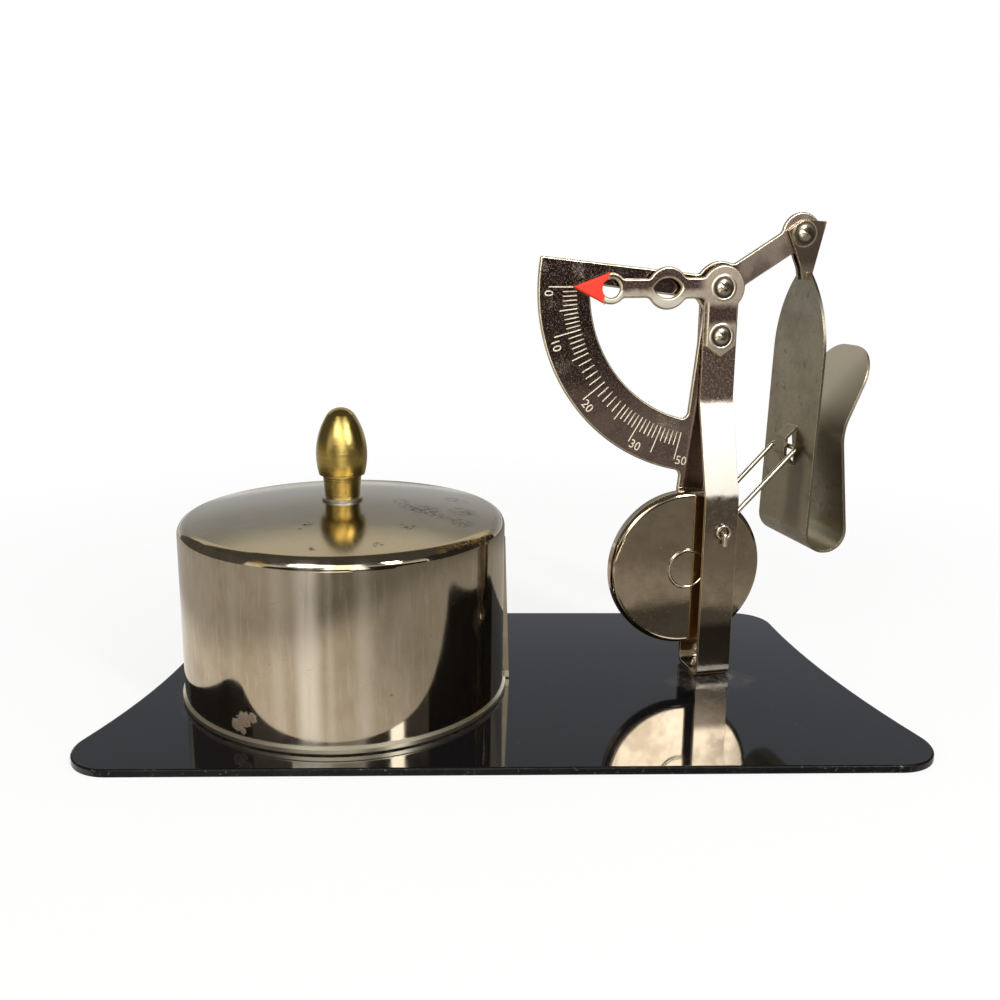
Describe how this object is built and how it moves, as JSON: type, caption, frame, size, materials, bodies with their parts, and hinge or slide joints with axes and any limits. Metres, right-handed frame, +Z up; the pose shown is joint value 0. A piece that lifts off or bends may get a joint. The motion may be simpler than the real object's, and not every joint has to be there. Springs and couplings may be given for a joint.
{
  "type": "postal scale",
  "caption": "Pendulum letter scale with quadrant dial, disc counterweight, wire link and hanging letter clip beside a lidded nickel stamp drum on a black plate.",
  "frame": {"origin": "middle of the base plate's underside, on the surface that the object stands on", "axes": "+Z up, +X along the plate from the stamp drum to the balance, +Y away from the user, so the dial faces about -Y"},
  "size_m": [0.1665, 0.0842, 0.1037],
  "materials": {
    "base_lacquer": "gloss black lacquer, worn to specks along the front edge",
    "seat_steel": "plain steel, not seen from outside",
    "rivet_nickel": "nickel plated, rubbed",
    "drum_nickel": "nickel plated, polished, warm with age, brass showing at the rim",
    "washer_nickel": "nickel plated",
    "knob_brass": "turned brass with fine lines",
    "stand_nickel": "nickel plated strip, polished",
    "pointer_nickel": "nickel plated sheet with a red painted tip",
    "dial_nickel": "nickel plated sheet, darkened, marks cut in",
    "weight_nickel": "nickel plated, satin",
    "clip_nickel": "nickel plated spring strip, satin, speckled",
    "wire_nickel": "nickel plated wire"
  },
  "bodies": {
    "base": {"base_plate": "base_lacquer", "drum_seat": "seat_steel", "seat_rivet_1": "rivet_nickel", "seat_rivet_2": "rivet_nickel", "seat_rivet_3": "rivet_nickel", "stand_rivet": "rivet_nickel"},
    "cover": {"drum_cover": "drum_nickel", "knob_washer": "washer_nickel", "drum_knob": "knob_brass", "knob_screw": "seat_steel"},
    "stand": {"balance_stand": "stand_nickel", "pointer_plate": "pointer_nickel", "pointer_rivet": "rivet_nickel", "pivot_rivet": "rivet_nickel"},
    "beam": {"pendulum_plate": "dial_nickel", "weight_disc": "weight_nickel", "weight_rivet": "weight_nickel"},
    "clip": {"letter_clip": "clip_nickel", "clip_rivet": "rivet_nickel", "clip_washer": "clip_nickel"},
    "link": {"wire_link": "wire_nickel"}
  },
  "joints": [
    {"name": "cover_lift", "type": "slide", "parent": "base", "child": "cover", "axis": [0, 0, 1], "range_m": [0, 0.06]},
    {"name": "stand_turn", "type": "hinge", "parent": "base", "child": "stand", "pos_m": [0.0479, 0.0058, 0.0023], "axis": [0, 0, 1], "range_deg": [-90, 90]},
    {"name": "beam_swing", "type": "hinge", "parent": "stand", "child": "beam", "pos_m": [0.0479, 0.0058, 0.0878], "axis": [-0.1908, 0.9816, 0], "range_deg": [0, 21]},
    {"name": "clip_hang", "type": "hinge", "parent": "beam", "child": "clip", "pos_m": [0.06558, 0.01077, 0.09919], "axis": [-0.1908, 0.9816, 0], "range_deg": [-26, 2]},
    {"name": "link_swing", "type": "hinge", "parent": "stand", "child": "link", "pos_m": [0.04839, 0.0059, 0.0352], "axis": [-0.1908, 0.9816, 0], "range_deg": [-2, 24]}
  ],
  "couplings": [
    {"joint": "clip_hang", "follows": "beam_swing", "ratio": -1.143},
    {"joint": "link_swing", "follows": "beam_swing", "ratio": 1.003}
  ]
}
